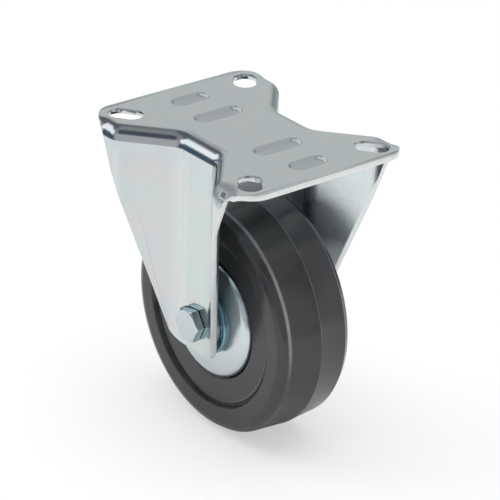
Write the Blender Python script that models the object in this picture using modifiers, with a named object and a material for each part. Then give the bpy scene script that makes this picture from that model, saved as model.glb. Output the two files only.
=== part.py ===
"""Fixed castor: a folded steel fork and a rubber wheel on a roller bearing.

The origin is the centre of the top plate's upper face. X is the rolling direction,
Y the axle and Z points up, out of the plate. Sizes are in metres.
"""
import math

import bmesh
import bpy
from mathutils import Matrix, Vector

MM = 0.001

# Clearances
SEAT_GAP = 0.3 * MM          # between pieces that touch, or run on each other
CUT_MARGIN = 4.0 * MM        # how far a cutter reaches past what it cuts

# Wheel
TYRE_RADIUS = 50.0 * MM
TYRE_WIDTH = 35.0 * MM
TREAD_CROWN = 1.1 * MM       # fall of the tread from its middle to its shoulder
TREAD_SHOULDER = 4.0 * MM    # radius between tread and side
BAND_STEP = 1.8 * MM         # depth of the side's recess below its outer band
BAND_INNER_RADIUS = 38.0 * MM
BAND_SLOPE = 1.4 * MM        # how far the step leans
LIP_CHAMFER = 0.6 * MM

# Pressed steel rim, a cup on each side
CUP_RADIUS = 25.4 * MM
CUP_SHEET = 1.5 * MM
CUP_SHOULDER = 3.2 * MM      # radius between face and wall
CUP_FACE_FALL = 1.7 * MM     # how far the face drops from the hub to its shoulder
CUP_SEAT_WIDTH = 2.4 * MM    # flat ring under the hub tube's flange

# Hub, roller bearing and axle
HUB_LENGTH = 41.0 * MM
HUB_WALL = 1.5 * MM
HUB_FLANGE_WIDTH = 1.5 * MM
HUB_FLANGE_THICKNESS = 1.2 * MM
ROLLER_COUNT = 8
ROLLER_RADIUS = 2.5 * MM
ROLLER_EDGE = 0.4 * MM
CAGE_WALL = 3.6 * MM
CAGE_END_RING = 2.0 * MM
SLEEVE_WALL = 1.7 * MM
THRUST_WASHER = 1.2 * MM
THRUST_WASHER_WIDTH = 5.9 * MM
SHANK_RADIUS = 4.0 * MM

# Bolt and nut
SPANNER_SIZE = 13.0 * MM
HEAD_HEIGHT = 3.6 * MM
HEAD_CORNER_ANGLE = math.radians(5.0)
NUT_HEIGHT = 6.5 * MM
NUT_COLLAR = 1.8 * MM        # height of the round collar that holds the locking ring
NUT_COLLAR_WALL = 0.7 * MM
LOCK_RING_WALL = 0.9 * MM
BOLT_END = 2.0 * MM          # shank left past the nut
POINT_CHAMFER = 0.8 * MM
CHAMFER_RISE = 0.9 * MM      # height lost by a hexagon's corner
FACE_CIRCLE_SHARE = 0.97     # of the spanner size, across the chamfer's inner circle

# Fork, folded from one sheet
SHEET = 2.4 * MM
PLATE_LENGTH = 102.0 * MM
PLATE_WIDTH = 84.0 * MM
PLATE_CORNER = 11.0 * MM
CORNER_INSET = 1.2 * MM      # plate's flat corners behind the legs' outer faces
BEND_RADIUS = 6.0 * MM       # outer radius of the fold between plate and leg
CREASE_RADIUS = 8.0 * MM     # outer radius of the leg's upright creases
WEB_HALF_LENGTH = 11.7 * MM  # from the middle to the inner crease
FLANGE_MARGIN = 19.0 * MM    # from the outer crease to the plate's end
FOLD_MARGIN = 12.0 * MM      # from there to where the fold begins to run out into the corner
FOLD_RUNOUT = 5.5 * MM
HEADROOM = 25.6 * MM         # between the sheet and the tyre
LEG_TOP_MARGIN = 11.0 * MM   # from the leg's throat, under the plate, to the plate's end
LEG_THROAT_DEPTH = 3.6 * MM
LEG_KNEE_INSET = 8.2 * MM    # from the throat in to where the leg's edges grow steeper
LEG_KNEE_DEPTH = 23.0 * MM
LEG_AXLE_HALF = 15.3 * MM    # leg's half width at the axle
LEG_TAIL = 12.4 * MM         # leg below the axle
LEG_TOE_RADIUS = 6.2 * MM
LEG_THROAT_RADIUS = 3.0 * MM

# Slots for the fixing screws
SLOT_END_MARGIN = 11.0 * MM  # from the slot's middle to the plate's end
SLOT_SIDE_MARGIN = 12.0 * MM # and to the fold's outer face
SLOT_LENGTH = 14.3 * MM
SLOT_WIDTH = 9.4 * MM

# Pressed beads across the plate, two in each half
BEAD_END_MARGIN = 13.5 * MM  # from the outer bead's middle to the plate's end
BEAD_SPACING = 18.5 * MM
BEAD_LENGTH_INNER = 22.5 * MM
BEAD_LENGTH_OUTER = 17.5 * MM
BEAD_WIDTH = 8.0 * MM
BEAD_DEPTH = 1.5 * MM
BEAD_DRAFT = 1.3 * MM

# Square pit pressed into each front fold
MARK_MARGIN = 14.7 * MM      # from the pit's middle to the plate's end
MARK_TURN = math.radians(60) # how far round the fold it sits
MARK_WIDTH = 3.6 * MM
MARK_DEPTH = 0.8 * MM

# Facets
TURN_STEPS = 48
FINE_TURN_STEPS = 32
ARC_STEPS = 4
PAN_STEPS = 16

# Sizes that follow
SHANK_HOLE = SHANK_RADIUS + SEAT_GAP
SLEEVE_RADIUS = SHANK_HOLE + SLEEVE_WALL
ROLLER_CIRCLE = SLEEVE_RADIUS + SEAT_GAP + ROLLER_RADIUS
HUB_BORE = ROLLER_CIRCLE + ROLLER_RADIUS + SEAT_GAP
HUB_RADIUS = HUB_BORE + HUB_WALL
HUB_HALF = HUB_LENGTH / 2
CAGE_HALF = HUB_HALF - SEAT_GAP
POCKET_RADIUS = ROLLER_RADIUS + SEAT_GAP
POCKET_HALF = CAGE_HALF - CAGE_END_RING
ROLLER_LENGTH = 2 * (POCKET_HALF - SEAT_GAP)
WASHER_INNER_FACE = HUB_HALF + SEAT_GAP
SLEEVE_HALF = WASHER_INNER_FACE + THRUST_WASHER
LEG_INNER_FACE = SLEEVE_HALF + SEAT_GAP
COLLAR_BORE = SHANK_HOLE + LOCK_RING_WALL + SEAT_GAP
LEG_OUTER_FACE = LEG_INNER_FACE + SHEET
CUP_FACE = HUB_HALF - HUB_FLANGE_THICKNESS - SEAT_GAP
CUP_EYE = HUB_RADIUS + SEAT_GAP
TYRE_BORE = CUP_RADIUS + SEAT_GAP
TYRE_HALF = TYRE_WIDTH / 2
TYRE_RECESS_FACE = TYRE_HALF - BAND_STEP
PLATE_HALF_LENGTH = PLATE_LENGTH / 2
PLATE_HALF_WIDTH = PLATE_WIDTH / 2
FLANGE_START = PLATE_HALF_LENGTH - FLANGE_MARGIN
FOLD_HALF_LENGTH = PLATE_HALF_LENGTH - FOLD_MARGIN
LEG_TOP_HALF = PLATE_HALF_LENGTH - LEG_TOP_MARGIN
LEG_KNEE_HALF = LEG_TOP_HALF - LEG_KNEE_INSET
AXLE_DEPTH = SHEET + HEADROOM + TYRE_RADIUS
LEG_DEPTH = AXLE_DEPTH + LEG_TAIL
BOLT_SEAT = LEG_OUTER_FACE + SEAT_GAP
AXLE_CENTRE = Vector((0, 0, -AXLE_DEPTH))
TO_AXLE = Matrix.Translation(AXLE_CENTRE) @ Matrix.Rotation(math.radians(-90), 4, "X")


def clear_scene():
    for obj in list(bpy.data.objects):
        bpy.data.objects.remove(obj, do_unlink=True)


def collection(name):
    group = bpy.data.collections.new(name)
    bpy.context.scene.collection.children.link(group)
    return group


def material(name, colour, metallic, roughness):
    finish = bpy.data.materials.new(name)
    finish.use_nodes = True
    shader = finish.node_tree.nodes["Principled BSDF"]
    shader.inputs["Base Color"].default_value = (*colour, 1.0)
    shader.inputs["Metallic"].default_value = metallic
    shader.inputs["Roughness"].default_value = roughness
    return finish


def mesh_object(name, build, group):
    """An object whose mesh the function build makes in a bmesh."""
    bm = bmesh.new()
    build(bm)
    mesh = bpy.data.meshes.new(name)
    bm.to_mesh(mesh)
    bm.free()
    obj = bpy.data.objects.new(name, mesh)
    group.objects.link(obj)
    return obj


def finish_piece(obj, finish, parent=None):
    obj.data.materials.append(finish)
    obj.data.shade_smooth()
    obj.data.set_sharp_from_angle(angle=math.radians(35))
    if parent is not None:
        obj.parent = parent
        obj.matrix_parent_inverse = parent.matrix_world.inverted()
    return obj


def hide_cutter(obj):
    obj.hide_render = True
    obj.display_type = "WIRE"
    return obj


def combine(obj, other, operation):
    step = obj.modifiers.new(other.name, "BOOLEAN")
    step.object = other
    step.operation = operation
    step.solver = "EXACT"


def rounded(points, radii, steps=ARC_STEPS):
    """The polygon through points with each corner rounded to its radius."""
    outline = []
    for index, (point, radius) in enumerate(zip(points, radii)):
        corner = Vector(point)
        if radius == 0:
            outline.append(corner)
            continue
        before = (Vector(points[index - 1]) - corner).normalized()
        after = (Vector(points[(index + 1) % len(points)]) - corner).normalized()
        outline.extend(corner_arc(corner, before, after, radius, steps))
    return outline


def corner_arc(corner, before, after, radius, steps):
    """Points of the arc that rounds a corner between two directions away from it."""
    half_angle = before.angle(after) / 2
    centre = corner + (before + after).normalized() * (radius / math.sin(half_angle))
    start = corner + before * (radius / math.tan(half_angle)) - centre
    sweep = math.pi - 2 * half_angle
    turn = math.copysign(sweep / steps, start.cross(after))
    return [centre + Matrix.Rotation(turn * k, 2) @ start for k in range(steps + 1)]


def outline_solid(name, outline, half_thickness, matrix, group):
    """A flat outline in the local XY plane, thickened both ways along local Z."""
    curve = bpy.data.curves.new(name, "CURVE")
    curve.dimensions = "2D"
    curve.fill_mode = "BOTH"
    curve.extrude = half_thickness
    spline = curve.splines.new("POLY")
    spline.points.add(len(outline) - 1)
    for point, place in zip(spline.points, outline):
        point.co = (place[0], place[1], 0, 1)
    spline.use_cyclic_u = True
    sketch = bpy.data.objects.new(name + "_sketch", curve)
    bpy.context.scene.collection.objects.link(sketch)
    sketch.matrix_world = matrix
    bpy.context.view_layer.update()
    evaluated = sketch.evaluated_get(bpy.context.evaluated_depsgraph_get())
    mesh = bpy.data.meshes.new_from_object(evaluated)
    bm = bmesh.new()
    bm.from_mesh(mesh)
    bmesh.ops.remove_doubles(bm, verts=bm.verts, dist=0.001 * MM)
    bmesh.ops.recalc_face_normals(bm, faces=bm.faces)
    bm.to_mesh(mesh)
    bm.free()
    solid = bpy.data.objects.new(name, mesh)
    group.objects.link(solid)
    solid.matrix_world = sketch.matrix_world
    bpy.data.objects.remove(sketch, do_unlink=True)
    return solid


def turned(name, profile, group, steps=TURN_STEPS, closed=True, matrix=TO_AXLE):
    """A profile of (radius, height) points swept round the local Z axis."""
    def build(bm):
        points = [bm.verts.new((radius, 0, height)) for radius, height in profile]
        for first, second in zip(points, points[1:]):
            bm.edges.new((first, second))
        if closed:
            bm.edges.new((points[-1], points[0]))

    obj = mesh_object(name, build, group)
    obj.matrix_world = matrix
    screw = obj.modifiers.new("turn", "SCREW")
    screw.steps = steps
    screw.render_steps = steps
    screw.use_merge_vertices = True
    screw.merge_threshold = 0.001 * MM
    return obj


def cylinder(name, radius, low, high, group, steps=FINE_TURN_STEPS, matrix=TO_AXLE, top_radius=None):
    """A cylinder, or a cone with a top radius, from low to high along the local Z axis."""
    def build(bm):
        bmesh.ops.create_cone(
            bm, cap_ends=True, segments=steps, radius1=radius,
            radius2=radius if top_radius is None else top_radius, depth=high - low,
            matrix=Matrix.Translation((0, 0, (low + high) / 2)))

    obj = mesh_object(name, build, group)
    obj.matrix_world = matrix
    return obj


def ring(name, inner, outer, low, high, group, steps=FINE_TURN_STEPS, edge=0.0):
    """A turned ring from low to high along the axle, its outer edges chamfered by edge."""
    profile = [(outer - edge, high), (outer, high - edge), (outer, low + edge), (outer - edge, low)]
    if edge == 0:
        profile = [(outer, high), (outer, low)]
    return turned(name, profile + [(inner, low), (inner, high)], group, steps)


def stadium(bm, length, width, low, high, draft, matrix):
    """A round-ended pan: a cone drawn out along local X, wider at the top by the draft."""
    reach = 1 / math.cos(math.pi / PAN_STEPS)
    made = bmesh.ops.create_cone(
        bm, cap_ends=True, segments=PAN_STEPS, radius1=(width / 2 - draft) * reach,
        radius2=width / 2 * reach, depth=high - low,
        matrix=Matrix.Translation((0, 0, (low + high) / 2)) @ Matrix.Rotation(math.pi / PAN_STEPS, 4, "Z"))
    for vert in made["verts"]:
        vert.co.x += math.copysign((length - width) / 2, vert.co.x)
    bmesh.ops.transform(bm, matrix=matrix, verts=made["verts"])


def fold_line():
    """The leg's outer face in plan, a quarter of it: points, outward normals, share of the fold."""
    web = Vector((WEB_HALF_LENGTH, LEG_OUTER_FACE))
    flange = Vector((FLANGE_START, PLATE_HALF_WIDTH))
    slant = (flange - web).normalized()
    along = Vector((1, 0))
    turn = slant.angle(along) / ARC_STEPS
    angles = [turn * k for k in range(ARC_STEPS + 1)]
    line = [(Vector((0, LEG_OUTER_FACE)), 0, 1)]
    line += [(point, angle, 1) for point, angle in
             zip(corner_arc(web, -along, slant, CREASE_RADIUS, ARC_STEPS), angles)]
    line += [(point, angle, 1) for point, angle in
             zip(corner_arc(flange, -slant, along, CREASE_RADIUS, ARC_STEPS), reversed(angles))]
    for k in range(ARC_STEPS + 1):
        share = (1 + math.cos(math.pi * k / ARC_STEPS)) / 2
        line.append((Vector((FOLD_HALF_LENGTH + FOLD_RUNOUT * k / ARC_STEPS, PLATE_HALF_WIDTH)), 0, share))
    line.append((Vector((PLATE_HALF_LENGTH + CUT_MARGIN, PLATE_HALF_WIDTH)), 0, 0))
    return [(point, Vector((-math.sin(angle), math.cos(angle))), share) for point, angle, share in line]


def fork_section(point, normal, share):
    """From the plate's middle over the fold and down the leg, at one place of the fold line.

    Where only a share of the fold is made, the sheet bends less and ends just past the corner.
    """
    inset = point - normal * BEND_RADIUS
    width = BEND_RADIUS - CORNER_INSET / 2 * (1 - share)
    bend = math.asin(width * share / BEND_RADIUS) if share < 1 else math.radians(90)
    section = [Vector((inset.x, 0, 0))]
    for k in range(ARC_STEPS + 2):
        part = k / (ARC_STEPS + 1)
        out = width * part
        drop = 0
        if share > 0:
            out = BEND_RADIUS / share * math.sin(bend * part)
            drop = BEND_RADIUS / share * (1 - math.cos(bend * part))
        section.append(Vector((*(inset + normal * out), -drop)))
    reach = LEG_DEPTH + CUT_MARGIN - BEND_RADIUS if point.x < FOLD_HALF_LENGTH - SEAT_GAP else SEAT_GAP
    along = normal * (math.cos(bend) * reach)
    section.append(section[-1] + Vector((along.x, along.y, -math.sin(bend) * reach)))
    return section


def fork_sheet(bm):
    """A quarter of the sheet's outer surface, lofted along the fold line."""
    rows = [[bm.verts.new(place) for place in fork_section(*station)] for station in fold_line()]
    for row, following in zip(rows, rows[1:]):
        for k in range(len(row) - 1):
            bm.faces.new((row[k], following[k], following[k + 1], row[k + 1]))


def side_outline():
    """Plate edge and tapered leg as seen along the axle."""
    knee_slope = (LEG_KNEE_HALF - LEG_AXLE_HALF) / (AXLE_DEPTH - LEG_KNEE_DEPTH)
    toe = LEG_AXLE_HALF - knee_slope * LEG_TAIL
    right = [
        (PLATE_HALF_LENGTH + CUT_MARGIN, CUT_MARGIN, 0),
        (PLATE_HALF_LENGTH + CUT_MARGIN, -LEG_THROAT_DEPTH, 0),
        (LEG_TOP_HALF, -LEG_THROAT_DEPTH, LEG_THROAT_RADIUS),
        (LEG_KNEE_HALF, -LEG_KNEE_DEPTH, 0),
        (toe, -LEG_DEPTH, LEG_TOE_RADIUS),
    ]
    corners = right + [(-x, z, radius) for x, z, radius in reversed(right)]
    return rounded([(x, z) for x, z, radius in corners], [radius for x, z, radius in corners])


def plan_outline():
    """Plate as seen from above, where it cuts the folded sheet's corners."""
    side = PLATE_HALF_WIDTH + CUT_MARGIN
    corners = [(PLATE_HALF_LENGTH, -side), (PLATE_HALF_LENGTH, side),
               (-PLATE_HALF_LENGTH, side), (-PLATE_HALF_LENGTH, -side)]
    return corners


def corner_cutters(group):
    """Four rods' worth of waste outside the plate's rounded corners."""
    reach = PLATE_CORNER + CUT_MARGIN
    cutters = []
    for sign_x, sign_y in ((1, 1), (-1, 1), (-1, -1), (1, -1)):
        waste = [(0, PLATE_CORNER)]
        waste += [(PLATE_CORNER * math.sin(math.radians(90) * k / (2 * ARC_STEPS)),
                   PLATE_CORNER * math.cos(math.radians(90) * k / (2 * ARC_STEPS)))
                  for k in range(1, 2 * ARC_STEPS)]
        waste += [(PLATE_CORNER, 0), (reach, 0), (reach, reach), (0, reach)]
        centre = (PLATE_HALF_LENGTH - PLATE_CORNER, PLATE_HALF_WIDTH - CORNER_INSET - PLATE_CORNER)
        outline = [(sign_x * (centre[0] + x), sign_y * (centre[1] + y)) for x, y in waste]
        cutters.append(outline_solid("corner_cut", outline, LEG_DEPTH, Matrix.Identity(4), group))
    return cutters


def slot_places():
    for sign_x in (1, -1):
        for sign_y in (1, -1):
            place = Vector((sign_x * (PLATE_HALF_LENGTH - SLOT_END_MARGIN),
                            sign_y * (PLATE_HALF_WIDTH - SLOT_SIDE_MARGIN), 0))
            angle = math.atan2(place.y, place.x)
            yield Matrix.Translation(place) @ Matrix.Rotation(angle, 4, "Z")


def bead_places():
    outer = PLATE_HALF_LENGTH - BEAD_END_MARGIN
    for distance, length in ((outer - BEAD_SPACING, BEAD_LENGTH_INNER), (outer, BEAD_LENGTH_OUTER)):
        for sign in (1, -1):
            place = Matrix.Translation((sign * distance, 0, 0))
            yield place @ Matrix.Rotation(math.radians(90), 4, "Z"), length


def cut_slots(bm):
    for matrix in slot_places():
        stadium(bm, SLOT_LENGTH, SLOT_WIDTH, -SHEET - CUT_MARGIN, CUT_MARGIN, 0, matrix)


def raise_beads(bm):
    """The sheet pushed down under each bead, as wide as its pan and one wall more."""
    wall = SHEET / 2
    for matrix, length in bead_places():
        stadium(bm, length + 2 * wall, BEAD_WIDTH + 2 * wall, -SHEET - BEAD_DEPTH, -SHEET / 2,
                BEAD_DRAFT * 2, matrix)


def sink_beads(bm):
    rise = BEAD_DEPTH / 2
    spread = BEAD_DRAFT * rise / BEAD_DEPTH
    for matrix, length in bead_places():
        stadium(bm, length + 2 * spread, BEAD_WIDTH + 2 * spread, -BEAD_DEPTH, rise,
                BEAD_DRAFT + spread, matrix)


def press_marks(bm):
    """A square pit in the fold near each leg's front edge."""
    rise = CUT_MARGIN / 4
    widest = MARK_WIDTH / math.sqrt(2) * (MARK_DEPTH + rise) / MARK_DEPTH
    for sign_y in (1, -1):
        out = Vector((0, sign_y * math.sin(MARK_TURN), math.cos(MARK_TURN)))
        middle = Vector((PLATE_HALF_LENGTH - MARK_MARGIN,
                         sign_y * (PLATE_HALF_WIDTH - BEND_RADIUS), -BEND_RADIUS))
        spin = out.to_track_quat("Z", "Y").to_matrix().to_4x4() @ Matrix.Rotation(math.radians(45), 4, "Z")
        bmesh.ops.create_cone(
            bm, cap_ends=True, segments=4, radius1=0.05 * MM, radius2=widest, depth=MARK_DEPTH + rise,
            matrix=Matrix.Translation(middle + out * BEND_RADIUS) @ spin
            @ Matrix.Translation((0, 0, (rise - MARK_DEPTH) / 2)))


def make_fork(group, cutters, finish):
    fork = mesh_object("fork_bracket", fork_sheet, group)
    mirror = fork.modifiers.new("quarters", "MIRROR")
    mirror.use_axis = (True, True, False)
    mirror.merge_threshold = 0.01 * MM
    sheet = fork.modifiers.new("sheet", "SOLIDIFY")
    sheet.thickness = SHEET
    sheet.offset = -1
    sheet.use_even_offset = False

    upright = Matrix.Rotation(math.radians(90), 4, "X")
    reach = PLATE_HALF_WIDTH + CUT_MARGIN
    leg_shape = outline_solid("leg_outline", side_outline(), reach, upright, cutters)
    plan_shape = outline_solid("plate_outline", plan_outline(), LEG_DEPTH + CUT_MARGIN,
                               Matrix.Identity(4), cutters)
    combine(fork, hide_cutter(leg_shape), "INTERSECT")
    combine(fork, hide_cutter(plan_shape), "INTERSECT")
    for corner in corner_cutters(cutters):
        combine(fork, hide_cutter(corner), "DIFFERENCE")
    combine(fork, hide_cutter(mesh_object("bead_pads", raise_beads, cutters)), "UNION")
    combine(fork, hide_cutter(mesh_object("bead_pans", sink_beads, cutters)), "DIFFERENCE")
    combine(fork, hide_cutter(mesh_object("slots", cut_slots, cutters)), "DIFFERENCE")
    combine(fork, hide_cutter(mesh_object("fold_marks", press_marks, cutters)), "DIFFERENCE")
    hole = cylinder("axle_hole", SHANK_HOLE, -LEG_OUTER_FACE - CUT_MARGIN,
                    LEG_OUTER_FACE + CUT_MARGIN, cutters)
    combine(fork, hide_cutter(hole), "DIFFERENCE")
    return finish_piece(fork, finish)


def tyre_profile():
    """Half the tyre's section from tread middle to bore, then the other half mirrored."""
    shoulder_radius = TYRE_RADIUS - TREAD_CROWN
    outer = [(TYRE_RADIUS, 0), (TYRE_RADIUS - TREAD_CROWN * 0.3, TYRE_HALF * 0.42)]
    corner = Vector((shoulder_radius, TYRE_HALF))
    outer += [tuple(place) for place in
              corner_arc(corner, Vector((0, -1)), Vector((-1, 0)), TREAD_SHOULDER, ARC_STEPS + 1)]
    outer += [
        (BAND_INNER_RADIUS, TYRE_HALF),
        (BAND_INNER_RADIUS - BAND_SLOPE, TYRE_RECESS_FACE),
        (TYRE_BORE + LIP_CHAMFER, TYRE_RECESS_FACE),
        (TYRE_BORE, TYRE_RECESS_FACE - LIP_CHAMFER),
    ]
    below = [(radius, -height) for radius, height in outer[1:]]
    return list(reversed(outer)) + below


def cup_profile():
    """The rim cup's outer surface from its eye over the shoulder to the wall's free edge."""
    seat_end = CUP_EYE + CUP_SEAT_WIDTH
    corner = Vector((CUP_RADIUS, CUP_FACE - CUP_FACE_FALL))
    inward = (Vector((seat_end, CUP_FACE)) - corner).normalized()
    profile = [(CUP_EYE, CUP_FACE), (seat_end, CUP_FACE)]
    profile += [tuple(place) for place in
                corner_arc(corner, inward, Vector((0, -1)), CUP_SHOULDER, ARC_STEPS)]
    return profile + [(CUP_RADIUS, SEAT_GAP / 2)]


def make_cup(name, side, group, finish, parent):
    matrix = TO_AXLE @ Matrix.Rotation(math.radians(180 if side < 0 else 0), 4, "X")
    cup = turned(name, cup_profile(), group, closed=False, matrix=matrix)
    wall = cup.modifiers.new("sheet", "SOLIDIFY")
    wall.thickness = CUP_SHEET
    wall.offset = -1
    wall.use_even_offset = True
    return finish_piece(cup, finish, parent)


def hub_profile():
    flange = HUB_RADIUS + HUB_FLANGE_WIDTH
    inside = HUB_HALF - HUB_FLANGE_THICKNESS
    edge = HUB_FLANGE_THICKNESS / 3
    return [(HUB_BORE, HUB_HALF), (flange - edge, HUB_HALF), (flange, HUB_HALF - edge),
            (flange, inside), (HUB_RADIUS, inside), (HUB_RADIUS, -inside), (flange, -inside),
            (flange, edge - HUB_HALF), (flange - edge, -HUB_HALF), (HUB_BORE, -HUB_HALF)]


def roller_place(index):
    angle = 2 * math.pi * index / ROLLER_COUNT
    return Vector((ROLLER_CIRCLE * math.cos(angle), 0, ROLLER_CIRCLE * math.sin(angle)))


def make_cage(group, cutters, finish, parent):
    cage = ring("bearing_cage", ROLLER_CIRCLE - CAGE_WALL / 2, ROLLER_CIRCLE + CAGE_WALL / 2,
                -CAGE_HALF, CAGE_HALF, group)
    for index in range(ROLLER_COUNT):
        matrix = Matrix.Translation(roller_place(index)) @ TO_AXLE
        pocket = cylinder("pocket", POCKET_RADIUS, -POCKET_HALF, POCKET_HALF, cutters, 16, matrix)
        combine(cage, hide_cutter(pocket), "DIFFERENCE")
    return finish_piece(cage, finish, parent)


def make_roller(index, group, finish, parent):
    half = ROLLER_LENGTH / 2
    profile = [(0, half), (ROLLER_RADIUS - ROLLER_EDGE, half), (ROLLER_RADIUS, half - ROLLER_EDGE),
               (ROLLER_RADIUS, ROLLER_EDGE - half), (ROLLER_RADIUS - ROLLER_EDGE, -half), (0, -half)]
    matrix = Matrix.Translation(roller_place(index)) @ TO_AXLE
    roller = turned("roller_%d" % (index + 1), profile, group, 16, closed=False, matrix=matrix)
    return finish_piece(roller, finish, parent)


def hexagon(name, low, high, free_is_high, group, cutters):
    """A hexagonal head from low to high along the axle, chamfered on its free face."""
    first_corner = math.radians(30)
    spin = TO_AXLE @ Matrix.Rotation(-HEAD_CORNER_ANGLE - first_corner, 4, "Z")
    corner = SPANNER_SIZE / math.sqrt(3)
    face_radius = SPANNER_SIZE / 2 * FACE_CIRCLE_SHARE
    slope = (corner - face_radius) / CHAMFER_RISE
    narrow = face_radius - slope * SEAT_GAP
    wide = face_radius + slope * (high - low + SEAT_GAP)
    radii = (wide, narrow) if free_is_high else (narrow, wide)
    body = cylinder(name, corner, low, high, group, 6, spin)
    cone = cylinder(name + "_chamfer", radii[0], low - SEAT_GAP, high + SEAT_GAP, cutters,
                    FINE_TURN_STEPS, TO_AXLE, radii[1])
    combine(body, hide_cutter(cone), "INTERSECT")
    return body


def make_bolt(group, cutters, finish):
    bolt = hexagon("axle_bolt", -BOLT_SEAT - HEAD_HEIGHT, -BOLT_SEAT, False, group, cutters)
    tip = BOLT_SEAT + NUT_HEIGHT + NUT_COLLAR + BOLT_END
    profile = [(0, -BOLT_SEAT - HEAD_HEIGHT / 2), (SHANK_RADIUS, -BOLT_SEAT - HEAD_HEIGHT / 2),
               (SHANK_RADIUS, tip - POINT_CHAMFER), (SHANK_RADIUS - POINT_CHAMFER, tip), (0, tip)]
    shank = turned("bolt_shank", profile, cutters, FINE_TURN_STEPS, closed=False)
    combine(bolt, hide_cutter(shank), "UNION")
    return finish_piece(bolt, finish)


def make_nut(group, cutters, steel, nylon):
    top = BOLT_SEAT + NUT_HEIGHT
    rim = top + NUT_COLLAR
    nut = hexagon("axle_nut", BOLT_SEAT, top, True, group, cutters)
    collar = ring("nut_collar", COLLAR_BORE, COLLAR_BORE + NUT_COLLAR_WALL, top - NUT_HEIGHT / 4, rim, cutters)
    combine(nut, hide_cutter(collar), "UNION")
    bore = cylinder("nut_bore", SHANK_HOLE, BOLT_SEAT - CUT_MARGIN, rim + CUT_MARGIN, cutters)
    combine(nut, hide_cutter(bore), "DIFFERENCE")
    finish_piece(nut, steel)
    insert = ring("nut_lock_ring", SHANK_HOLE, SHANK_HOLE + LOCK_RING_WALL,
                  top + SEAT_GAP, rim - SEAT_GAP, group)
    finish_piece(insert, nylon)


def make_thrust_washer(name, low, high, group, finish):
    inner = SLEEVE_RADIUS + SEAT_GAP
    return finish_piece(ring(name, inner, inner + THRUST_WASHER_WIDTH, low, high, group), finish)


def main():
    clear_scene()
    parts = collection("fixed_castor")
    cutters = collection("cutters")
    zinc = material("zinc_plated_steel", (0.63, 0.66, 0.68), 1.0, 0.25)
    rubber = material("black_rubber", (0.035, 0.035, 0.038), 0.0, 0.55)
    steel = material("bearing_steel", (0.55, 0.55, 0.56), 1.0, 0.2)
    nylon = material("nylon", (0.75, 0.73, 0.66), 0.0, 0.5)

    wheel = bpy.data.objects.new("wheel_axis", None)
    cage_axis = bpy.data.objects.new("cage_axis", None)
    for axis in (wheel, cage_axis):
        axis.location = AXLE_CENTRE
        parts.objects.link(axis)
    bpy.context.view_layer.update()

    make_fork(parts, cutters, zinc)
    make_bolt(parts, cutters, zinc)
    sleeve = ring("bearing_sleeve", SHANK_HOLE, SLEEVE_RADIUS, -SLEEVE_HALF, SLEEVE_HALF, parts)
    finish_piece(sleeve, steel)
    make_nut(parts, cutters, zinc, nylon)
    make_thrust_washer("thrust_washer_near", -SLEEVE_HALF, -WASHER_INNER_FACE, parts, steel)
    make_thrust_washer("thrust_washer_far", WASHER_INNER_FACE, SLEEVE_HALF, parts, steel)

    tyre = turned("tyre", tyre_profile(), parts)
    finish_piece(tyre, rubber, wheel)
    make_cup("rim_cup_near", -1, parts, zinc, wheel)
    make_cup("rim_cup_far", 1, parts, zinc, wheel)
    hub = turned("hub_tube", hub_profile(), parts)
    finish_piece(hub, zinc, wheel)
    make_cage(parts, cutters, nylon, cage_axis)
    for index in range(ROLLER_COUNT):
        make_roller(index, parts, steel, cage_axis)


main()
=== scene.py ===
# %% [markdown]
# # A fixed castor
# This lesson dresses the engineering model of a small fixed castor: a fork folded from
# one zinc plated sheet, and a solid rubber wheel that turns on a roller bearing.
# The model is loaded first. Each node keeps its place, and every new piece is made
# in the same metres, so nothing has to be fitted afterwards.

# %% Load the engineering model
import math
import bmesh
import bpy
from mathutils import Matrix, Vector
from mathutils.bvhtree import BVHTree
from mathutils.geometry import barycentric_transform


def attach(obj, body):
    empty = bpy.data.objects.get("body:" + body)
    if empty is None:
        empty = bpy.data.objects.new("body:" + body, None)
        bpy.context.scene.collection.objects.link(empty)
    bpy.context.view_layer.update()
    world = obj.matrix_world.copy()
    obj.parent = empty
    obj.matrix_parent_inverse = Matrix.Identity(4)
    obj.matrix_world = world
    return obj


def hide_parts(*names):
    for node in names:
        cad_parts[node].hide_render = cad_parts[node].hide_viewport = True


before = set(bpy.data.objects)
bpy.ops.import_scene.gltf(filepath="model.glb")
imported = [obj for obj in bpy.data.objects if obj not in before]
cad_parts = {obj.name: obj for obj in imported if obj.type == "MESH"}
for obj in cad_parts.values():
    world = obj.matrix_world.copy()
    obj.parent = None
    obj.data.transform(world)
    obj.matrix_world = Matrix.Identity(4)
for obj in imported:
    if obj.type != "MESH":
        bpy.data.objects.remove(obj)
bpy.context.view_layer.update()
MM = 0.001

# %% [markdown]
# Operators act on whatever is selected, and a freshly loaded model is selected all over.
# So each piece starts with nothing selected. The helpers below do the things that a
# person does with the keyboard: choose a part of a mesh by its place, apply a modifier,
# and set the finished object down with its place in its mesh.

# %% Helpers for work in edit mode
scene = bpy.context.scene


def put_down():
    if bpy.context.object and bpy.context.object.mode == "EDIT":
        bpy.ops.object.mode_set(mode="OBJECT")
    bpy.ops.object.select_all(action="DESELECT")


def pick_up(piece):
    put_down()
    piece.select_set(True)
    bpy.context.view_layer.objects.active = piece


def edit(piece, mode="VERT"):
    pick_up(piece)
    bpy.ops.object.mode_set(mode="EDIT")
    bpy.ops.mesh.select_mode(type=mode)
    bpy.ops.mesh.select_all(action="DESELECT")


def choose(piece, test, kind="verts"):
    """Selects the vertices, edges or faces that pass a test."""
    mesh = bmesh.from_edit_mesh(piece.data)
    for element in getattr(mesh, kind):
        element.select_set(bool(test(element)))
    mesh.select_flush_mode()
    bmesh.update_edit_mesh(piece.data)


def settle(piece):
    """Moves the object's own place and turn into its mesh."""
    pick_up(piece)
    bpy.ops.object.transform_apply(location=True, rotation=True, scale=True)


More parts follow.
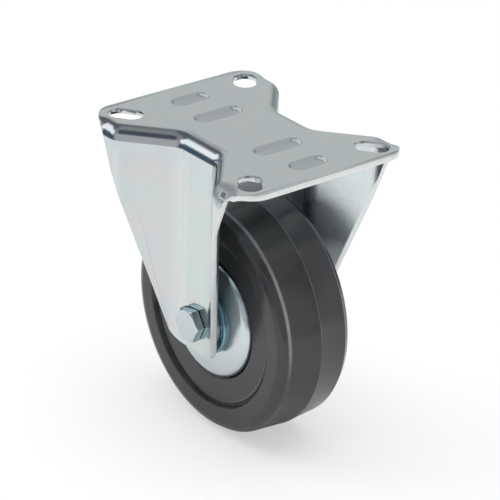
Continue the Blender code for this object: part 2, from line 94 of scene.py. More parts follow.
def modify(piece, kind, **settings):
    """Adds a modifier and applies it."""
    pick_up(piece)
    step = piece.modifiers.new(kind.lower(), kind)
    for name, value in settings.items():
        setattr(step, name, value)
    bpy.ops.object.modifier_apply(modifier=step.name)


def bevel(piece, width, segments, least_angle, **settings):
    """Softens the edges that are sharper than an angle in degrees."""
    modify(piece, "BEVEL", width=width, segments=segments, limit_method="ANGLE",
           angle_limit=math.radians(least_angle), **settings)


def carve(piece, tool, operation="DIFFERENCE"):
    modify(piece, "BOOLEAN", object=tool, operation=operation, solver="EXACT")
    bpy.data.objects.remove(tool, do_unlink=True)


def face_outwards():
    bpy.ops.mesh.select_all(action="SELECT")
    bpy.ops.mesh.normals_make_consistent(inside=False)


def report(piece):
    low = [round(min(v.co[k] for v in piece.data.vertices) / MM, 1) for k in range(3)]
    high = [round(max(v.co[k] for v in piece.data.vertices) / MM, 1) for k in range(3)]
    mesh = bmesh.new()
    mesh.from_mesh(piece.data)
    loose = sum(1 for edge in mesh.edges if len(edge.link_faces) != 2)
    volume = mesh.calc_volume(signed=True) / MM ** 3
    mesh.free()
    print(piece.name, "faces:", len(piece.data.polygons), "open edges:", loose,
          "volume:", round(volume), "from", low, "to", high)


print("helpers ready")

# %% [markdown]
# A rounded corner in an outline could be drawn point by point. It is shorter to give the
# sharp corner and its radius, and let a function put an arc there. The same function
# serves the fork's outlines and the turned pieces' sections.

# %% Rounded corners
def corner_arc(corner, before, after, radius, steps):
    """Points of the arc that rounds a corner, given the directions to its neighbours."""
    half_angle = before.angle(after) / 2
    centre = corner + (before + after).normalized() * (radius / math.sin(half_angle))
    start = corner + before * (radius / math.tan(half_angle)) - centre
    turn = math.copysign((math.pi - 2 * half_angle) / steps, start.cross(after))
    return [centre + Matrix.Rotation(turn * k, 2) @ start for k in range(steps + 1)]


def rounded(points, closed=True, steps=8):
    """A line through (x, y, radius) corners, each rounded to its radius."""
    line = []
    last = len(points) - 1
    for k, (x, y, radius) in enumerate(points):
        corner = Vector((x, y))
        if radius == 0 or (not closed and k in (0, last)):
            line.append(corner)
            continue
        before = (Vector(points[k - 1][:2]) - corner).normalized()
        after = (Vector(points[(k + 1) % len(points)][:2]) - corner).normalized()
        line.extend(corner_arc(corner, before, after, radius, steps))
    return line


print("points in a rounded square:", len(rounded([(0, 0, 1), (9, 0, 1), (9, 9, 1), (0, 9, 1)])))

# %% [markdown]
# ## The fork's sheet
# The fork is pressed from one sheet 2.4 mm thick: a flat plate whose two sides fold down
# into legs. Each leg steps in from its flanges to a web beside the wheel, over two soft
# upright creases, and the fold follows that line. At the plate's corners the fold runs out,
# so the corners stay flat. A bevelled box can't make such a run-out, so a quarter of the
# sheet's outer skin is lofted: one section after another along the fold line.

# %% The fold line, seen from above
SHEET = 2.4 * MM
PLATE_HALF_LENGTH = 51.0 * MM
PLATE_HALF_WIDTH = 42.0 * MM
WEB_FACE = 24.7 * MM
WEB_CREASE = 11.7 * MM
FLANGE_CREASE = 32.0 * MM
CREASE_RADIUS = 8.0 * MM
FOLD_RADIUS = 6.0 * MM
FOLD_END = 39.0 * MM
RUNOUT = 12.0 * MM
CORNER_INSET = 1.2 * MM
LEG_DEPTH = 90.4 * MM
SPARE = 4.0 * MM
LIP = 0.3 * MM
ARC = 12
RUN_STEPS = 2 * ARC
AXLE = Vector((0, 0, -78.0 * MM))


def fold_line():
    """Points of the leg's outer face in plan, with the outward normal and share of the fold."""
    web = Vector((WEB_CREASE, WEB_FACE))
    flange = Vector((FLANGE_CREASE, PLATE_HALF_WIDTH))
    slant = (flange - web).normalized()
    along = Vector((1, 0))
    turn = slant.angle(along)
    line = [(Vector((0, WEB_FACE)), 0, 1)]
    for k, point in enumerate(corner_arc(web, -along, slant, CREASE_RADIUS, ARC)):
        line.append((point, turn * k / ARC, 1))
    for k, point in enumerate(corner_arc(flange, -slant, along, CREASE_RADIUS, ARC)):
        line.append((point, turn * (1 - k / ARC), 1))
    for k in range(RUN_STEPS + 1):
        gone = k / RUN_STEPS
        share = (1 - gone) ** 3 * (1 + 3 * gone)
        line.append((Vector((FOLD_END + RUNOUT * gone, PLATE_HALF_WIDTH)), 0, share))
    line.append((Vector((PLATE_HALF_LENGTH + SPARE, PLATE_HALF_WIDTH)), 0, 0))
    return [(point, Vector((-math.sin(angle), math.cos(angle))), share)
            for point, angle, share in line]


print("stations along the fold:", len(fold_line()))

# %% One section, from the plate's middle over the fold and down the leg
def fork_section(point, normal, share):
    """The section's points and normals; a share under 1 makes the fold wide and shallow."""
    inset = point - normal * FOLD_RADIUS
    width = FOLD_RADIUS - CORNER_INSET / 2 * (1 - share)
    bend = math.asin(width * share / FOLD_RADIUS) if share < 1 else math.pi / 2
    section = [Vector((inset.x, 0, 0))]
    up = Vector((0, 0, 1))
    normals = [up]
    for k in range(ARC + 1):
        part = k / ARC
        out = width * part
        drop = 0
        if share > 0:
            out = FOLD_RADIUS / share * math.sin(bend * part)
            drop = FOLD_RADIUS / share * (1 - math.cos(bend * part))
        section.append(Vector((*(inset + normal * out), -drop)))
        normals.append(Vector((*(normal * math.sin(bend * part)), math.cos(bend * part))))
    reach = LEG_DEPTH + SPARE - FOLD_RADIUS if point.x < FOLD_END - LIP else LIP
    along = normal * (math.cos(bend) * reach)
    section.append(section[-1] + Vector((along.x, along.y, -math.sin(bend) * reach)))
    normals.append(normals[-1])
    return section, normals


def skin_grid():
    """The quarter's grid of points and its outward normals."""
    made = [fork_section(*station) for station in fold_line()]
    places = [section for section, normals in made]
    normals = [normals for section, normals in made]
    for i, (point, normal, share) in enumerate(fold_line()[:-1]):
        if share > 0.999 or share < 0.001:
            continue
        for j in range(1, len(places[i]) - 1):
            along = places[i + 1][j] - places[i - 1][j]
            down = places[i][j + 1] - places[i][j - 1]
            normals[i][j] = down.cross(along).normalized()
            if normals[i][j].z < 0:
                normals[i][j].negate()
    return places, normals


skin_places, skin_normals = skin_grid()
print("skin grid:", len(skin_places), "by", len(skin_places[0]))

# %% [markdown]
# The quarter is mirrored twice and given its thickness. Solidify adds the wall on the
# inside only, so that the outer skin stays where it was lofted.

# %% Mirror the quarter and thicken it
def sheet_piece(name):
    width = len(skin_places[0])
    points = [place for section in skin_places for place in section]
    faces = [(i * width + j, (i + 1) * width + j, (i + 1) * width + j + 1, i * width + j + 1)
             for i in range(len(skin_places) - 1) for j in range(width - 1)]
    mesh = bpy.data.meshes.new(name)
    mesh.from_pydata(points, [], faces)
    piece = bpy.data.objects.new(name, mesh)
    scene.collection.objects.link(piece)
    return piece


fork = sheet_piece("fork")
modify(fork, "MIRROR", use_axis=(True, True, False), merge_threshold=0.01 * MM)
edit(fork)
face_outwards()
put_down()
top = min(fork.data.polygons,
          key=lambda face: (face.center.x ** 2 + face.center.y ** 2, -face.center.z))
if top.normal.z < 0:
    fork.data.flip_normals()
modify(fork, "SOLIDIFY", thickness=SHEET, offset=-1, use_even_offset=False)
report(fork)

# %% [markdown]
# ## Cutting the outline
# On the press the blank is cut first and folded afterwards. In Blender it is easier to fold
# first and cut the outline with flat solids, one seen from the side for the tapered legs
# and others from above for the rounded corners. Each solid starts as a plane whose
# corners are placed and which is extruded, and a Boolean applies the cut.

# %% A flat solid from an outline
def flat_solid(name, outline, thickness, side_view=False):
    """Extrudes an outline both ways; side_view stands it up, facing the axle's direction."""
    bpy.ops.object.select_all(action="DESELECT")
    bpy.ops.mesh.primitive_circle_add(vertices=len(outline), radius=1 * MM, fill_type="NGON")
    tool = bpy.context.object
    tool.name = name
    for vert, place in zip(tool.data.vertices, outline):
        vert.co = (place[0], place[1], -thickness / 2)
    edit(tool, "FACE")
    bpy.ops.mesh.select_all(action="SELECT")
    bpy.ops.mesh.extrude_region_move(TRANSFORM_OT_translate={"value": (0, 0, thickness)})
    face_outwards()
    put_down()
    if side_view:
        tool.rotation_euler = (math.radians(90), 0, 0)
    settle(tool)
    return tool


LEG_TOP = 39.75 * MM
THROAT_DEPTH = 3.7 * MM
KNEE = 32.2 * MM
KNEE_DEPTH = 23.0 * MM
TOE = 12.76 * MM
right_side = [
    (PLATE_HALF_LENGTH + SPARE, SPARE, 0),
    (PLATE_HALF_LENGTH + SPARE, -THROAT_DEPTH, 0),
    (LEG_TOP, -THROAT_DEPTH, 3.0 * MM),
    (KNEE, -KNEE_DEPTH, 60.0 * MM),
    (TOE, -LEG_DEPTH, 6.2 * MM),
]
left_side = [(-x, z, radius) for x, z, radius in reversed(right_side)]
side_outline = rounded(right_side + left_side, steps=12)
carve(fork, flat_solid("side", side_outline, 100 * MM, side_view=True), "INTERSECT")
report(fork)

# %% The plate's straight ends and round corners
PLATE_CORNER = 11.0 * MM
CORNER_STEPS = 14


def plate_outline():
    """The plate from above; its straight sides lie outside the sheet, where the legs are."""
    centre = Vector((PLATE_HALF_LENGTH - PLATE_CORNER,
                     PLATE_HALF_WIDTH - CORNER_INSET - PLATE_CORNER))
    start = FOLD_END - 0.1 * MM
    quarter = [Vector((start, PLATE_HALF_WIDTH + SPARE)),
               Vector((start, PLATE_HALF_WIDTH + 0.15 * MM))]
    for k in range(CORNER_STEPS):
        angle = math.radians(65 - 5 * k)
        quarter.append(centre + Vector((math.cos(angle), math.sin(angle))) * PLATE_CORNER)
    returning = list(reversed(quarter))
    outline = quarter + [Vector((p.x, -p.y)) for p in returning]
    outline += [Vector((-p.x, -p.y)) for p in quarter]
    outline += [Vector((-p.x, p.y)) for p in returning]
    return outline


carve(fork, flat_solid("plan", plate_outline(), 200 * MM), "INTERSECT")
report(fork)

# %% [markdown]
# ## Beads, slots and marks
# Four shallow beads are pressed into the plate to stiffen it. A press draws the sheet over a
# rounded punch, so a bead has soft shoulders and shows as a low pad underneath. Insetting one
# face again and again, a little deeper each time, gives just such a dish.

# %% A round-ended dish, shaped by insets
def dish(name, length, width, steps, start, rise):
    """A stadium outline along Y, extruded from rise to start, then inset by (in, down) steps."""
    bpy.ops.object.select_all(action="DESELECT")
    bpy.ops.mesh.primitive_circle_add(vertices=48, radius=width / 2, fill_type="NGON")
    tool = bpy.context.object
    tool.name = name
    edit(tool)
    choose(tool, lambda vert: vert.co.y > 0.001 * MM)
    bpy.ops.transform.translate(value=(0, (length - width) / 2, 0))
    choose(tool, lambda vert: vert.co.y < -0.001 * MM)
    bpy.ops.transform.translate(value=(0, (width - length) / 2, 0))
    bpy.ops.mesh.select_mode(type="FACE")
    bpy.ops.mesh.select_all(action="SELECT")
    bpy.ops.transform.translate(value=(0, 0, rise))
    bpy.ops.mesh.extrude_region_move(TRANSFORM_OT_translate={"value": (0, 0, start - rise)})
    depth = start
    for inward, drop in steps:
        choose(tool, lambda face: abs(face.calc_center_median().z - depth) < 0.001 * MM
               and abs(face.normal.z) > 0.9, "faces")
        bpy.ops.mesh.inset(thickness=inward, depth=0, use_even_offset=True)
        choose(tool, lambda face: abs(face.calc_center_median().z - depth) < 0.001 * MM
               and abs(face.calc_center_median().x) < 0.1 * MM and len(face.verts) > 20, "faces")
        bpy.ops.transform.translate(value=(0, 0, -drop))
        depth -= drop
    face_outwards()
    put_down()
    return tool


def along_y(tool, x, y=0, turn=0):
    tool.location = (x, y, 0)
    tool.rotation_euler = (0, 0, turn)
    settle(tool)
    return tool


BEADS = ((19.0 * MM, 22.5 * MM), (-19.0 * MM, 22.5 * MM),
         (37.5 * MM, 17.5 * MM), (-37.5 * MM, 17.5 * MM))
BEAD_WIDTH = 8.0 * MM
PAD_MARGIN = 2.8 * MM
PAN_MARGIN = 1.6 * MM
pad_steps = [(0.7 * MM, 0.6 * MM), (0.5 * MM, 0.45 * MM), (0.5 * MM, 0.4 * MM),
             (0.5 * MM, 0.25 * MM), (0.5 * MM, 0.1 * MM)]
pan_steps = [(0.9 * MM, 0.25 * MM), (0.3 * MM, 0.14 * MM), (0.3 * MM, 0.24 * MM),
             (0.3 * MM, 0.28 * MM), (0.3 * MM, 0.21 * MM), (0.4 * MM, 0.12 * MM)]
for x, length in BEADS:
    pad = dish("pad", length + PAD_MARGIN, BEAD_WIDTH + PAD_MARGIN, pad_steps,
               -SHEET + 0.3 * MM, -SHEET / 2)
    carve(fork, along_y(pad, x), "UNION")
for x, length in BEADS:
    pan = dish("pan", length + PAN_MARGIN, BEAD_WIDTH + PAN_MARGIN, pan_steps, 0.15 * MM, 1.0 * MM)
    carve(fork, along_y(pan, x))
report(fork)

# %% Screw slots, pointing to the plate's middle
SLOT_PLACE = Vector((40.0 * MM, 30.0 * MM))
SLOT_LENGTH = 14.3 * MM
SLOT_WIDTH = 9.4 * MM
for sign_x in (1, -1):
    for sign_y in (1, -1):
        place = Vector((sign_x * SLOT_PLACE.x, sign_y * SLOT_PLACE.y))
        slot = dish("slot", SLOT_LENGTH, SLOT_WIDTH, [], -2 * SHEET, SHEET)
        turn = math.atan2(place.y, place.x) - math.radians(90)
        carve(fork, along_y(slot, place.x, place.y, turn))
report(fork)

# %% The axle's hole
HOLE_RADIUS = 4.3 * MM
bpy.ops.object.select_all(action="DESELECT")
bpy.ops.mesh.primitive_cylinder_add(vertices=64, radius=HOLE_RADIUS, depth=100 * MM,
                                    location=AXLE, rotation=(math.radians(90), 0, 0))
hole = bpy.context.object
settle(hole)
carve(fork, hole)
report(fork)

# %% [markdown]
# ## Soft edges and true normals
# A sheared edge is never quite sharp, and its thin bright line is part of how sheet metal
# looks. A small bevel on every sharp edge gives that line. The Booleans leave long faces on
# the folds, whose averaged normals would bend the reflections, so the normals of the skin
# are taken from the loft instead, where they are known exactly.

# %% Bevel the cut edges
edit(fork)
bpy.ops.mesh.select_all(action="SELECT")
bpy.ops.mesh.remove_doubles(threshold=0.04 * MM)
bpy.ops.mesh.dissolve_degenerate(threshold=0.01 * MM)
bevel(fork, 0.3 * MM, 2, 50, use_clamp_overlap=False, harden_normals=False,
      miter_outer="MITER_SHARP")
report(fork)

# %% [markdown]
# Each front fold carries a small square pit from the press. Its punch is a frustum that
# looks at the fold squarely. The pit's edges are too blunt for the bevel above, so they get
# one of their own, found by their place.

# %% A square pit in each front fold, punched last
MARK_X = 37.2 * MM
MARK_TILT = math.radians(57)
MARK_REACH = 2.1 * MM
MARK_TOP = -0.5 * MM
MARK_FOOT = -5.0 * MM
MARK_SIDES = (2.5 * MM, 5.9 * MM)
MARK_LEVELS = (-0.5 * MM, 0.8 * MM)


def punch_mark(sign_y):
    """A four-sided frustum across the fold's skin, its sides along the plate's edge."""
    out = Vector((0, sign_y * math.sin(MARK_TILT), math.cos(MARK_TILT)))
    middle = Vector((MARK_X, sign_y * (PLATE_HALF_WIDTH - FOLD_RADIUS), -FOLD_RADIUS))
    deep, wide = [side / math.sqrt(2) for side in MARK_SIDES]
    base, height = MARK_LEVELS
    bpy.ops.object.select_all(action="DESELECT")
    bpy.ops.mesh.primitive_cone_add(vertices=4, radius1=deep, radius2=wide, depth=height - base)
    tool = bpy.context.object
    eighth = Matrix.Rotation(math.radians(45), 4, "Z")
    turn = out.to_track_quat("Z", "Y").to_matrix().to_4x4() @ eighth
    centre = middle + out * (FOLD_RADIUS + (height + base) / 2)
    tool.matrix_world = Matrix.Translation(centre) @ turn
    settle(tool)
    return tool


def on_mark(place):
    return (abs(place.x - MARK_X) < MARK_REACH and abs(place.y) > 38 * MM
            and MARK_FOOT < place.z < MARK_TOP)


for sign_y in (1, -1):
    carve(fork, punch_mark(sign_y))
report(fork)
edit(fork, "EDGE")
choose(fork, lambda edge: len(edge.link_faces) == 2 and edge.calc_face_angle() > math.radians(25)
       and all(on_mark(vert.co) for vert in edge.verts), "edges")
bpy.ops.mesh.bevel(offset=0.14 * MM, segments=2)
put_down()
report(fork)

# %% Exact normals for the skin, inside and out
def skin_tree():
    mesh = bmesh.new()
    rows = [[mesh.verts.new(place) for place in section] for section in skin_places]
    true_normal = {}
    for row, normals in zip(rows, skin_normals):
        for vert, normal in zip(row, normals):
            true_normal[vert] = normal
    for row, following in zip(rows, rows[1:]):
        for j in range(len(row) - 1):
            mesh.faces.new((row[j], following[j], following[j + 1], row[j + 1]))
    bmesh.ops.triangulate(mesh, faces=mesh.faces)
    corners = [[(vert.co.copy(), true_normal[vert]) for vert in face.verts] for face in mesh.faces]
    tree = BVHTree.FromBMesh(mesh)
    mesh.free()
    return tree, corners


def quarter(vector, place):
    """Turns a vector of the first quarter over into the place's own quarter."""
    sign_x, sign_y = math.copysign(1, place.x), math.copysign(1, place.y)
    return Vector((sign_x * vector.x, sign_y * vector.y, vector.z))


def true_skin_normal(tree, corners, place):
    spot = Vector((abs(place.x), abs(place.y), place.z))
    found, _, index, distance = tree.find_nearest(spot)
    triangle = corners[index]
    normal = barycentric_transform(found, *[co for co, n in triangle], *[n for co, n in triangle])
    return quarter(normal.normalized(), place), distance


def face_kind(face, true, distance):
    """Which finish a face gets, by its place, its normal and its distance from the skin."""
    x, y, z = abs(face.center.x), abs(face.center.y), face.center.z
    near_slot = math.hypot(x - SLOT_PLACE.x, y - SLOT_PLACE.y) < 8 * MM
    pressed = z > -5 * MM and x < 49 * MM and (y < 20 * MM or near_slot)
    # Steep bead ends that face the front take a pale, dull finish as a painted highlight.
    if pressed and not near_slot and z < -0.02 * MM and face.normal.z > 0.2:
        return "painted_glint" if face.normal.y < -0.40 else "bead"
    # A pit's walls take the same painted highlight.
    if abs(x - MARK_X) < MARK_REACH and y > 37 * MM and MARK_FOOT < z < MARK_TOP:
        if 0.02 * MM < distance < 0.46 * MM:
            return "painted_glint"
        # The pit's floor takes a dark finish as painted shade.
        return "pit" if 0.46 * MM <= distance < 1.0 * MM else "skin"
    in_sheet = 0.25 * MM < distance < SHEET - 0.25 * MM
    if not pressed and (abs(true.dot(face.normal)) < 0.5 or (in_sheet and x > 8 * MM)):
        return "sheared"
    return "inner" if true.dot(face.normal) < -0.6 else "skin"


def dress_skin(piece):
    """Sets the true normals and returns the indices of the faces of each kind."""
    tree, corners = skin_tree()
    mesh = piece.data
    mesh.shade_smooth()
    pick_up(piece)
    bpy.ops.object.shade_smooth_by_angle(angle=math.radians(34))
    normals = [Vector(corner.vector) for corner in mesh.corner_normals]
    found = [true_skin_normal(tree, corners, vert.co) for vert in mesh.vertices]
    on_skin = set()
    kinds = {}
    for face in mesh.polygons:
        # A face that lies on either skin and faces along it takes the skin's own normals.
        true, distance = true_skin_normal(tree, corners, face.center)
        kinds.setdefault(face_kind(face, true, distance), []).append(face.index)
        sign = 1 if distance < SHEET / 2 else -1
        on_surface = min(distance, abs(distance - SHEET)) < 0.12 * MM
        facing = true.dot(face.normal) * sign
        if on_surface and abs(facing) > 0.985:
            for loop in face.loop_indices:
                vertex = mesh.loops[loop].vertex_index
                normals[loop] = found[vertex][0] * math.copysign(sign, facing * sign)
                if facing > 0:
                    on_skin.add((vertex, sign))
    # So do the corners of its neighbours, such as bevels, where they run into the skin.
    for face in mesh.polygons:
        for loop in face.loop_indices:
            vertex = mesh.loops[loop].vertex_index
            for sign in (1, -1):
                if (vertex, sign) in on_skin and face.normal.dot(found[vertex][0]) * sign > 0.6:
                    normals[loop] = found[vertex][0] * sign
    mesh.normals_split_custom_set(normals)
    print("corners on the skin:", len(on_skin), "of", len(mesh.vertices))
    return kinds


fork_faces = dress_skin(fork)
print("faces of each kind:", {kind: len(faces) for kind, faces in fork_faces.items()})

# %% [markdown]
# ## The turned pieces
# The tyre, the two rim cups, the hub tube and the end of the axle are all round about the
# axle. The quickest way to such a shape is a lathe: one vertex is extruded along half of
# the section, and the line is spun round the axle in many steps.

# %% A lathe about the axle
def lathe(name, section, closed=True, steps=160):
    """Spins a section of (radius, place along the axle) points round the axle."""
    bpy.ops.object.select_all(action="DESELECT")
    bpy.ops.mesh.primitive_plane_add(size=1 * MM)
    piece = bpy.context.object
    piece.name = name
    edit(piece)
    bpy.ops.mesh.select_all(action="SELECT")
    bpy.ops.mesh.merge(type="CENTER")
    places = [AXLE + Vector((radius, y, 0)) for radius, y in section]
    bpy.ops.transform.translate(value=places[0])
    for before, after in zip(places, places[1:]):
        bpy.ops.mesh.extrude_region_move(TRANSFORM_OT_translate={"value": after - before})
    if closed:
        ends = (places[0], places[-1])
        choose(piece, lambda vert: min((vert.co - end).length for end in ends) < 0.001 * MM)
        bpy.ops.mesh.edge_face_add()
    bpy.ops.mesh.select_all(action="SELECT")
    bpy.ops.mesh.spin(steps=steps, angle=2 * math.pi, center=AXLE, axis=(0, 1, 0))
    bpy.ops.mesh.select_all(action="SELECT")
    bpy.ops.mesh.remove_doubles(threshold=0.003 * MM)
    face_outwards()
    put_down()
    settle(piece)
    bpy.ops.object.shade_smooth_by_angle(angle=math.radians(30))
    return piece


def softened(points, closed=True, steps=4):
    """The section's sharp corners, each given as (radius, place, rounding), made soft."""
    return [tuple(place) for place in rounded(points, closed, steps)]


# %% [markdown]
# ## The tyre
# It is moulded rubber. Each side has a flat outer band, a leaning step down to a recess,
# and a fine ledge at the step's foot. The tread is two shallow cones that meet at the
# mould's parting line, which stands up as a fine flash, and it ends in a fine edge at
# each shoulder. Those lines catch the light, so they are in the section.

# %% Turn the tyre
tyre_side = [
    (50.0 * MM, 0.95 * MM, 0),
    (48.95 * MM, 13.6 * MM, 0.3 * MM),
    (48.4 * MM, 14.2 * MM, 0.3 * MM),
    (46.9 * MM, 16.6 * MM, 2.2 * MM),
    (44.4 * MM, 17.5 * MM, 1.4 * MM),
    (38.2 * MM, 17.5 * MM, 0.4 * MM),
    (37.2 * MM, 15.45 * MM, 0.3 * MM),
    (36.7 * MM, 15.45 * MM, 0.2 * MM),
    (36.3 * MM, 15.85 * MM, 0.2 * MM),
    (35.6 * MM, 15.85 * MM, 0.2 * MM),
    (35.3 * MM, 15.7 * MM, 0.15 * MM),
    (26.5 * MM, 15.7 * MM, 0.4 * MM),
    (25.75 * MM, 14.8 * MM, 0.2 * MM),
    (25.7 * MM, 0, 0),
]
far_half = softened(tyre_side, closed=False, steps=5)[1:]
near_half = [(radius, -y) for radius, y in reversed(far_half)]
flash = [(49.93 * MM, 0.45 * MM), (50.0 * MM, 0.6 * MM),
         (50.0 * MM, 0.8 * MM), (49.93 * MM, 0.95 * MM)]
tyre = lathe("tyre_dressed", near_half + flash + far_half[:-1], steps=192)
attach(tyre, "wheel")
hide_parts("tyre")
report(tyre)

# %% [markdown]
# ## Rim cups and hub
# Two shallow cups of pressed steel carry the tyre, one from each side. Their sheet is
# 1.5 mm thick, and the shoulder between face and wall is rolled. The hub tube's end is
# flared over the cups' eyes, which shows as a narrow ring beside each leg; its zinc has a dark
# blue tone as painted shade for the gap between leg and cup.

# %% Turn the rim cups
CUP_EYE = 13.4 * MM


def rim_cup(name, side):
    outer = [(CUP_EYE, 19.0 * MM, 0), (15.8 * MM, 19.0 * MM, 18.0 * MM),
             (25.4 * MM, 17.3 * MM, 3.2 * MM), (25.4 * MM, 0.15 * MM, 0)]
    inner = [(23.9 * MM, 0.15 * MM, 0), (23.9 * MM, 15.95 * MM, 1.7 * MM),
             (15.7 * MM, 17.5 * MM, 1.0 * MM), (CUP_EYE, 17.5 * MM, 0)]
    section = softened(outer, closed=False, steps=10) + softened(inner, closed=False, steps=8)
    cup = lathe(name, [(radius, side * y) for radius, y in section], steps=160)
    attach(cup, "wheel")
    report(cup)
    return cup


cups = [rim_cup("rim_cup_near_dressed", -1), rim_cup("rim_cup_far_dressed", 1)]
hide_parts("rim_cup_near")
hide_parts("rim_cup_far")

# %% Turn the hub tube with its flared ends
hub_end = [(11.6 * MM, 0, 0), (11.6 * MM, 20.5 * MM, 0.3 * MM), (14.6 * MM, 20.5 * MM, 0.8 * MM),
           (14.6 * MM, 19.06 * MM, 0.1 * MM), (13.1 * MM, 19.06 * MM, 0)]
hub_half = softened(hub_end, closed=False)
hub = lathe("hub_tube_dressed", hub_half + [(radius, -y) for radius, y in reversed(hub_half[1:])])
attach(hub, "wheel")
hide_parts("hub_tube")
report(hub)

# %% [markdown]
# ## Axle bolt and nut
# A hexagon head sits on the near leg and a locking nut with a nylon ring on the far one.
# A hexagon is turned on its free face, which leaves a round face and curved corners. Here
# a six-sided prism is cut to the shape of a cone, and its edges get a fine bevel. How far
# the hexagon is turned is measured on the engineering model.

# %% Hexagons
HEX_CORNER = 13.0 * MM / math.sqrt(3)
HEX_FACE = 6.3 * MM
HEX_DROP = 1.15 * MM


def corner_angle(node):
    """The direction of a corner of the node's hexagon, about the axle."""
    far = max(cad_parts[node].data.vertices, key=lambda v: math.hypot(v.co.x, v.co.z - AXLE.z))
    return math.atan2(far.co.z - AXLE.z, far.co.x)


def hexagon(name, node, seat, height, side):
    """A chamfered hexagon from its seat outwards along the axle."""
    bpy.ops.object.select_all(action="DESELECT")
    bpy.ops.mesh.primitive_cylinder_add(vertices=6, radius=HEX_CORNER, depth=height)
    piece = bpy.context.object
    piece.name = name
    middle = AXLE + Vector((0, side * (seat + height / 2), 0))
    turn = Matrix.Rotation(-corner_angle(node), 4, "Y") @ Matrix.Rotation(math.radians(90), 4, "X")
    twelfth = Matrix.Rotation(math.radians(30), 4, "Z")
    piece.matrix_world = Matrix.Translation(middle) @ turn @ twelfth
    settle(piece)
    outside, below, top = HEX_CORNER + 1 * MM, seat - 1 * MM, seat + height
    cone = [(0, side * below), (outside, side * below), (outside, side * (top - HEX_DROP)),
            (HEX_FACE, side * top), (0, side * top)]
    carve(piece, lathe("cone", cone, closed=False, steps=96), "INTERSECT")
    return piece


head = hexagon("bolt_head", "axle_bolt", 25.0 * MM, 3.6 * MM, -1)
bevel(head, 0.16 * MM, 3, 25)
bpy.ops.object.shade_smooth_by_angle(angle=math.radians(40))

# %% The shank, with plain rings for its thread
SHANK = 4.0 * MM
PITCH = 1.05 * MM
shank = [(0, -25.2 * MM, 0), (SHANK, -25.2 * MM, 0), (SHANK, 26.0 * MM, 0)]
for k in range(8):
    crest = 26.5 * MM + k * PITCH
    shank += [(SHANK, crest, 0.1 * MM), (3.6 * MM, crest + 0.5 * MM, 0.1 * MM)]
shank += [(3.9 * MM, 34.5 * MM, 0.1 * MM), (3.2 * MM, 35.3 * MM, 0.2 * MM), (0, 35.3 * MM, 0)]
shaft = lathe("bolt_shank", softened(shank, closed=False, steps=2), closed=False, steps=64)

# %% The locking nut on the far side
nut = hexagon("axle_nut_dressed", "axle_nut", 25.0 * MM, 6.5 * MM, 1)
bevel(nut, 0.16 * MM, 2, 25)
bore = [(0, 24.0 * MM), (HOLE_RADIUS, 24.0 * MM), (HOLE_RADIUS, 34.0 * MM), (0, 34.0 * MM)]
carve(nut, lathe("bore", bore, closed=False, steps=64))
COLLAR_BORE = 4.4 * MM
collar = softened([(COLLAR_BORE, 30.0 * MM, 0), (6.1 * MM, 30.0 * MM, 0),
                   (6.1 * MM, 33.3 * MM, 0.5 * MM), (5.5 * MM, 33.3 * MM, 0.1 * MM),
                   (5.5 * MM, 31.7 * MM, 0), (COLLAR_BORE, 31.7 * MM, 0)])
carve(nut, lathe("collar", collar, steps=96), "UNION")
edit(nut)
bpy.ops.mesh.select_all(action="SELECT")
bpy.ops.mesh.remove_doubles(threshold=0.004 * MM)
pick_up(nut)
bpy.ops.object.shade_smooth_by_angle(angle=math.radians(40))
ring = softened([(HOLE_RADIUS, 31.8 * MM, 0), (HOLE_RADIUS, 32.8 * MM, 0.3 * MM),
                 (5.2 * MM, 33.0 * MM, 0.2 * MM), (5.2 * MM, 31.8 * MM, 0)])
lock_ring = lathe("nut_lock_ring_dressed", ring, steps=96)
for piece in (head, shaft, nut, lock_ring, fork):
    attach(piece, "bracket")
    report(piece)
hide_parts("axle_bolt")
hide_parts("axle_nut")
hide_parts("nut_lock_ring")
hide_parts("fork_bracket")

# %% [markdown]
# ## Finishes
# The steel is zinc plated and clear passivated: a bright, slightly blue mirror with a faint
# haze, which turns pink, green and straw in places as the film's thickness varies. All of
# it is made from noise in the piece's own coordinates, so it stays on the metal.

# %% Node helpers
def finish(name):
    material = bpy.data.materials.new(name)
    material.use_nodes = True
    return material, material.node_tree, material.node_tree.nodes["Principled BSDF"]


def feed(tree, node, inputs):
    """Sets a node's inputs, each given as a value or as the socket that it comes from."""
    for name, value in inputs.items():
        if isinstance(value, bpy.types.NodeSocket):
            tree.links.new(value, node.inputs[name])
        else:
            node.inputs[name].default_value = value


def add(tree, kind, inputs=None, **settings):
    node = tree.nodes.new("ShaderNode" + kind)
    for name, value in settings.items():
        setattr(node, name, value)
    feed(tree, node, inputs or {})
    return node


def calculate(tree, operation, first, second=0.0):
    return add(tree, "Math", {0: first, 1: second}, operation=operation).outputs["Value"]


def scaled(tree, source, start, end, low=0.0, high=1.0, kind="LINEAR"):
    """Takes the range from start to end to the one from low to high."""
    node = add(tree, "MapRange", {"Value": source, "From Min": start, "From Max": end,
                                  "To Min": low, "To Max": high}, interpolation_type=kind)
    return node.outputs["Result"]


def fade(tree, source, start, end, low=0.0, high=1.0):
    return scaled(tree, source, start, end, low, high, "SMOOTHSTEP")


def spread(tree, source, low, high):
    """Noise lies mostly between a quarter and three quarters."""
    return scaled(tree, source, 0.25, 0.75, low, high)


def blend(tree, below, mask, above, kind="MIX"):
    """Lays a colour over the one below, where the mask is 1."""
    node = add(tree, "Mix", data_type="RGBA", blend_type=kind)
    feed(tree, node, {"Factor": mask, "A": below, "B": above})
    return node.outputs["Result"]


def mix_shaders(tree, share, first, second):
    return add(tree, "MixShader", {"Fac": share, 1: first, 2: second}).outputs["Shader"]


# %% Helpers for texture and for places on a piece
def noise(tree, scale, detail=3.0, roughness=0.5, stretch=(1, 1, 1)):
    place = add(tree, "TexCoord").outputs["Object"]
    mapping = add(tree, "Mapping", {"Vector": place, "Scale": stretch})
    return add(tree, "TexNoise", {"Vector": mapping.outputs["Vector"], "Scale": scale,
                                  "Detail": detail, "Roughness": roughness}).outputs["Fac"]


